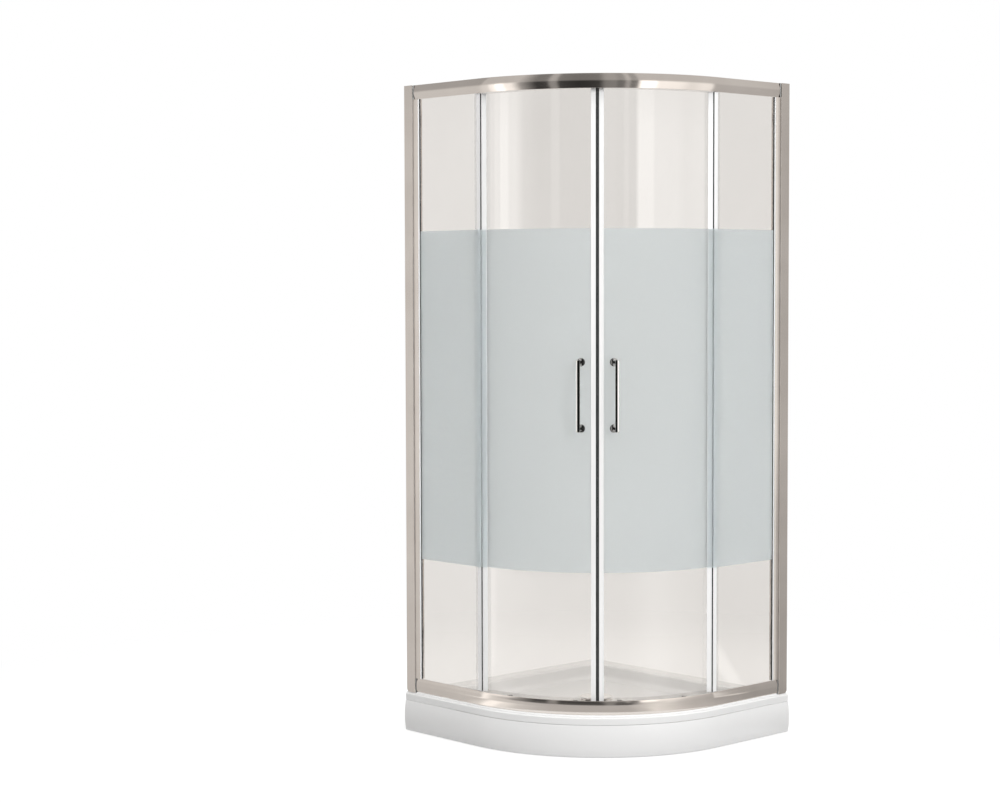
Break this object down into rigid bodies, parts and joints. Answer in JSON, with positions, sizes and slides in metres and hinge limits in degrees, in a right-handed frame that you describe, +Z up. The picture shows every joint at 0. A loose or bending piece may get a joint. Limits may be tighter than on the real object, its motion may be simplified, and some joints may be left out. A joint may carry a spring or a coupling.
{
  "type": "shower cabin",
  "caption": "Quarter-circle corner shower cabin with a low tray, metal frame, flat fixed panes and curved sliding doors that open from the middle.",
  "frame": {"origin": "middle of the square footprint, on the floor", "axes": "+Z up; the walls are at -X and +Y, so the room corner is at (-X, +Y) and the doors face (+X, -Y)"},
  "size_m": [0.8999, 0.8999, 2.13],
  "materials": {
    "white_acrylic": "gloss",
    "board": "raw",
    "zinc_steel": "zinc plated",
    "black_plastic": "matte",
    "frame_metal": "polished",
    "chrome": "polished",
    "safety_glass": "clear with a frosted band",
    "white_seal": "translucent",
    "black_rubber": "matte",
    "white_plastic": "satin",
    "nylon": "satin"
  },
  "bodies": {
    "cabin": {"apron_brackets": "zinc_steel", "base_board": "board", "bottom_rail": "frame_metal", "corner_blocks_left": "white_plastic", "corner_blocks_right": "white_plastic", "door_stops": "black_rubber", "fixed_glass_left": "safety_glass", "fixed_glass_right": "safety_glass", "fixed_seal_left": "white_seal", "fixed_seal_right": "white_seal", "foot_nuts": "zinc_steel", "foot_pads": "black_plastic", "foot_rods": "zinc_steel", "frame_screws": "zinc_steel", "rail_gaskets_left": "black_rubber", "rail_gaskets_right": "black_rubber", "shower_tray": "white_acrylic", "sill_gasket": "black_rubber", "stile_gasket_left": "black_rubber", "stile_gasket_right": "black_rubber", "stile_left": "frame_metal", "stile_right": "frame_metal", "support_bars": "zinc_steel", "top_rail": "frame_metal", "tray_apron": "white_acrylic", "wall_profile_left": "frame_metal", "wall_profile_right": "frame_metal", "waste_cover": "chrome", "waste_flange": "chrome", "waste_gasket": "black_rubber", "waste_trap": "white_plastic"},
    "door_right": {"door_glass_right": "safety_glass", "handle_nuts_right": "chrome", "handle_right": "chrome", "handle_rosettes_right": "chrome", "magnet_strip_right": "black_rubber", "magnetic_seal_right": "white_seal", "roller_axles_right": "zinc_steel", "roller_bolts_right": "zinc_steel", "roller_brackets_right": "zinc_steel", "trailing_seal_right": "white_seal"},
    "door_left": {"door_glass_left": "safety_glass", "handle_left": "chrome", "handle_nuts_left": "chrome", "handle_rosettes_left": "chrome", "magnet_strip_left": "black_rubber", "magnetic_seal_left": "white_seal", "roller_axles_left": "zinc_steel", "roller_bolts_left": "zinc_steel", "roller_brackets_left": "zinc_steel", "trailing_seal_left": "white_seal"},
    "wheel_bottom_lead_left_body": {"wheel_bottom_lead_left": "nylon"},
    "wheel_bottom_lead_right_body": {"wheel_bottom_lead_right": "nylon"},
    "wheel_bottom_trail_left_body": {"wheel_bottom_trail_left": "nylon"},
    "wheel_bottom_trail_right_body": {"wheel_bottom_trail_right": "nylon"},
    "wheel_top_lead_left_body": {"wheel_top_lead_left": "nylon"},
    "wheel_top_lead_right_body": {"wheel_top_lead_right": "nylon"},
    "wheel_top_trail_left_body": {"wheel_top_trail_left": "nylon"},
    "wheel_top_trail_right_body": {"wheel_top_trail_right": "nylon"}
  },
  "joints": [
    {"name": "door_right_slide", "type": "hinge", "parent": "cabin", "child": "door_right", "pos_m": [-0.1786, 0.126, 1.13], "axis": [0, 0, 1], "range_deg": [0, 22.2]},
    {"name": "door_left_slide", "type": "hinge", "parent": "cabin", "child": "door_left", "pos_m": [-0.126, 0.1786, 1.13], "axis": [0, 0, -1], "range_deg": [0, 22.2]},
    {"name": "wheel_top_lead_right_spin", "type": "hinge", "parent": "door_right", "child": "wheel_top_lead_right_body", "pos_m": [0.29013, -0.19399, 2.1158], "axis": [0.7986, -0.6018, 0], "continuous": true},
    {"name": "wheel_top_lead_left_spin", "type": "hinge", "parent": "door_left", "child": "wheel_top_lead_left_body", "pos_m": [0.19399, -0.29013, 2.1158], "axis": [0.6018, -0.7986, 0], "continuous": true},
    {"name": "wheel_top_trail_right_spin", "type": "hinge", "parent": "door_right", "child": "wheel_top_trail_right_body", "pos_m": [0.37783, -0.00156, 2.1158], "axis": [0.9781, -0.2079, 0], "continuous": true},
    {"name": "wheel_top_trail_left_spin", "type": "hinge", "parent": "door_left", "child": "wheel_top_trail_left_body", "pos_m": [0.00156, -0.37783, 2.1158], "axis": [0.2079, -0.9781, 0], "continuous": true},
    {"name": "wheel_bottom_lead_right_spin", "type": "hinge", "parent": "door_right", "child": "wheel_bottom_lead_right_body", "pos_m": [0.29013, -0.19399, 0.1462], "axis": [0.7986, -0.6018, 0], "continuous": true},
    {"name": "wheel_bottom_lead_left_spin", "type": "hinge", "parent": "door_left", "child": "wheel_bottom_lead_left_body", "pos_m": [0.19399, -0.29013, 0.1462], "axis": [0.6018, -0.7986, 0], "continuous": true},
    {"name": "wheel_bottom_trail_right_spin", "type": "hinge", "parent": "door_right", "child": "wheel_bottom_trail_right_body", "pos_m": [0.37783, -0.00156, 0.1462], "axis": [0.9781, -0.2079, 0], "continuous": true},
    {"name": "wheel_bottom_trail_left_spin", "type": "hinge", "parent": "door_left", "child": "wheel_bottom_trail_left_body", "pos_m": [0.00156, -0.37783, 0.1462], "axis": [0.2079, -0.9781, 0], "continuous": true}
  ],
  "couplings": [
    {"joint": "wheel_top_lead_right_spin", "follows": "door_right_slide", "ratio": -66.769},
    {"joint": "wheel_top_lead_left_spin", "follows": "door_left_slide", "ratio": 66.769},
    {"joint": "wheel_top_trail_right_spin", "follows": "door_right_slide", "ratio": -67.16},
    {"joint": "wheel_top_trail_left_spin", "follows": "door_left_slide", "ratio": 67.16},
    {"joint": "wheel_bottom_lead_right_spin", "follows": "door_right_slide", "ratio": 66.769},
    {"joint": "wheel_bottom_lead_left_spin", "follows": "door_left_slide", "ratio": -66.769},
    {"joint": "wheel_bottom_trail_right_spin", "follows": "door_right_slide", "ratio": 67.16},
    {"joint": "wheel_bottom_trail_left_spin", "follows": "door_left_slide", "ratio": -67.16}
  ]
}
